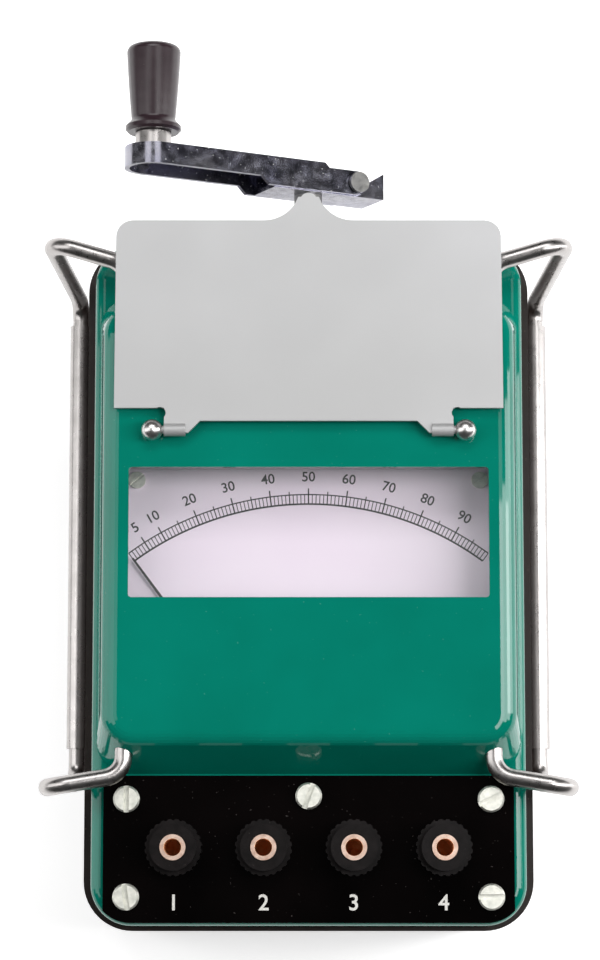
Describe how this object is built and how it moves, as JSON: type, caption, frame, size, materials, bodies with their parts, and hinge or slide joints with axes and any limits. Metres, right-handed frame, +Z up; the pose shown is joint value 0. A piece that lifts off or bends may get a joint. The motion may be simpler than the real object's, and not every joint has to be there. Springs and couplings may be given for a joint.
{
  "type": "earth tester",
  "caption": "Hand-cranked earth resistance tester in a black case with a green cover, needle meter under a hinged dial cover, clamp terminals, wire bails and a folding crank.",
  "frame": {"origin": "centre of the rest face under the case", "axes": "+X across the case to the right seen from the terminals, +Y from the terminals towards the crank, +Z up"},
  "size_m": [0.1264, 0.2154, 0.1044],
  "materials": {
    "case_black": "glossy moulded",
    "enamel_green": "glossy enamel",
    "panel_black": "polished",
    "zinc": "zinc plated",
    "brass": "machined",
    "chrome": "polished plating",
    "satin_lid": "satin",
    "pane": "clear",
    "dial_white": "matt print",
    "pointer_black": "matt",
    "copper": "enamelled wire",
    "iron": "bare",
    "steel": "bare",
    "grip_black": "polished moulded",
    "cap_black": "moulded",
    "fibre": "pressed fibre",
    "carbon": "pressed"
  },
  "bodies": {
    "case": {"base_case": "case_black", "base_screws": "zinc", "tie_posts": "steel", "cover": "enamel_green", "window_pane": "pane", "pane_clips": "steel", "dial_rails": "steel", "dial_plate": "dial_white", "dial_screws": "zinc", "terminal_panel": "panel_black", "cover_screws": "zinc", "panel_nuts": "zinc", "terminal_posts": "brass", "terminal_washers": "fibre", "terminal_nuts": "brass", "hinge_studs": "chrome", "crank_bush": "brass", "gear_plate_far": "steel", "gear_plate_near": "steel", "gear_pillars": "steel", "field_yoke": "iron", "field_magnets": "iron", "end_bracket": "steel", "brushes": "carbon", "pole_ring": "iron", "meter_core": "iron", "meter_bridges": "brass", "meter_pillars": "steel"},
    "crank": {"crankshaft": "steel", "hub_bracket": "chrome", "hub_nut": "chrome", "fold_pin": "chrome", "crank_wheel": "brass"},
    "crank_arm": {"crank_arm": "chrome", "grip_spindle": "chrome"},
    "grip": {"crank_grip": "grip_black"},
    "second_shaft": {"second_arbor": "steel", "second_wheel": "brass"},
    "rotor": {"rotor_shaft": "steel", "armature": "iron", "windings": "copper", "commutator": "copper"},
    "needle": {"moving_coil": "copper", "pointer": "pointer_black"},
    "zero_screw": {"zero_adjuster": "zinc"},
    "dial_cover": {"dial_cover": "satin_lid"},
    "bail_left": {"bail_wire_left": "chrome", "bail_sleeve_left": "chrome", "bail_collars_left": "steel"},
    "bail_right": {"bail_wire_right": "chrome", "bail_sleeve_right": "chrome", "bail_collars_right": "steel"},
    "clamp_washer_1": {"clamp_washer_1": "zinc"},
    "clamp_cap_1": {"clamp_cap_1": "cap_black"},
    "clamp_washer_2": {"clamp_washer_2": "zinc"},
    "clamp_cap_2": {"clamp_cap_2": "cap_black"},
    "clamp_washer_3": {"clamp_washer_3": "zinc"},
    "clamp_cap_3": {"clamp_cap_3": "cap_black"},
    "clamp_washer_4": {"clamp_washer_4": "zinc"},
    "clamp_cap_4": {"clamp_cap_4": "cap_black"}
  },
  "joints": [
    {"name": "crank_turn", "type": "hinge", "parent": "case", "child": "crank", "pos_m": [0, 0.0825, 0.056], "axis": [0, 1, 0], "continuous": true},
    {"name": "second_turn", "type": "hinge", "parent": "case", "child": "second_shaft", "pos_m": [-0.02275, 0.06, 0.0426], "axis": [0, 1, 0], "continuous": true},
    {"name": "rotor_turn", "type": "hinge", "parent": "case", "child": "rotor", "pos_m": [-0.001, 0.03, 0.03246], "axis": [0, 1, 0], "continuous": true},
    {"name": "crank_fold", "type": "hinge", "parent": "crank", "child": "crank_arm", "pos_m": [0.00918, 0.1031, 0.05112], "axis": [-0.4695, 0, -0.8829], "range_deg": [0, 150]},
    {"name": "grip_spin", "type": "hinge", "parent": "crank_arm", "child": "grip", "pos_m": [-0.03797, 0.12, 0.07619], "axis": [0, 1, 0], "continuous": true},
    {"name": "dial_cover_hinge", "type": "hinge", "parent": "case", "child": "dial_cover", "pos_m": [0, 0.0334, 0.1019], "axis": [1, 0, 0], "range_deg": [0, 186]},
    {"name": "bail_left_swing", "type": "hinge", "parent": "case", "child": "bail_left", "pos_m": [-0.0431, 0.012, 0.0932], "axis": [0, 1, 0], "range_deg": [0, 28]},
    {"name": "bail_right_swing", "type": "hinge", "parent": "case", "child": "bail_right", "pos_m": [0.0431, 0.012, 0.0932], "axis": [0, -1, 0], "range_deg": [0, 28]},
    {"name": "needle_swing", "type": "hinge", "parent": "case", "child": "needle", "pos_m": [0, -0.0512, 0.0822], "axis": [0, 0, -1], "range_deg": [0, 73], "stiffness_Nm_per_rad": 0.00002},
    {"name": "zero_turn", "type": "hinge", "parent": "case", "child": "zero_screw", "pos_m": [0, -0.0512, 0.0883], "axis": [0, 0, 1], "range_deg": [-30, 30]},
    {"name": "clamp_1_rise", "type": "slide", "parent": "case", "child": "clamp_washer_1", "axis": [0, 0, 1], "range_m": [0, 0.002]},
    {"name": "clamp_1_turn", "type": "hinge", "parent": "clamp_washer_1", "child": "clamp_cap_1", "pos_m": [-0.0315, -0.06325, 0.093], "axis": [0, 0, 1], "range_deg": [0, 720]},
    {"name": "clamp_2_rise", "type": "slide", "parent": "case", "child": "clamp_washer_2", "axis": [0, 0, 1], "range_m": [0, 0.002]},
    {"name": "clamp_2_turn", "type": "hinge", "parent": "clamp_washer_2", "child": "clamp_cap_2", "pos_m": [-0.0105, -0.06325, 0.093], "axis": [0, 0, 1], "range_deg": [0, 720]},
    {"name": "clamp_3_rise", "type": "slide", "parent": "case", "child": "clamp_washer_3", "axis": [0, 0, 1], "range_m": [0, 0.002]},
    {"name": "clamp_3_turn", "type": "hinge", "parent": "clamp_washer_3", "child": "clamp_cap_3", "pos_m": [0.0105, -0.06325, 0.093], "axis": [0, 0, 1], "range_deg": [0, 720]},
    {"name": "clamp_4_rise", "type": "slide", "parent": "case", "child": "clamp_washer_4", "axis": [0, 0, 1], "range_m": [0, 0.002]},
    {"name": "clamp_4_turn", "type": "hinge", "parent": "clamp_washer_4", "child": "clamp_cap_4", "pos_m": [0.0315, -0.06325, 0.093], "axis": [0, 0, 1], "range_deg": [0, 720]}
  ],
  "couplings": [
    {"joint": "second_turn", "follows": "crank_turn", "ratio": -4.5},
    {"joint": "rotor_turn", "follows": "crank_turn", "ratio": 18},
    {"joint": "clamp_1_turn", "follows": "clamp_1_rise", "rad_per_m": 6283.2},
    {"joint": "clamp_2_turn", "follows": "clamp_2_rise", "rad_per_m": 6283.2},
    {"joint": "clamp_3_turn", "follows": "clamp_3_rise", "rad_per_m": 6283.2},
    {"joint": "clamp_4_turn", "follows": "clamp_4_rise", "rad_per_m": 6283.2}
  ]
}
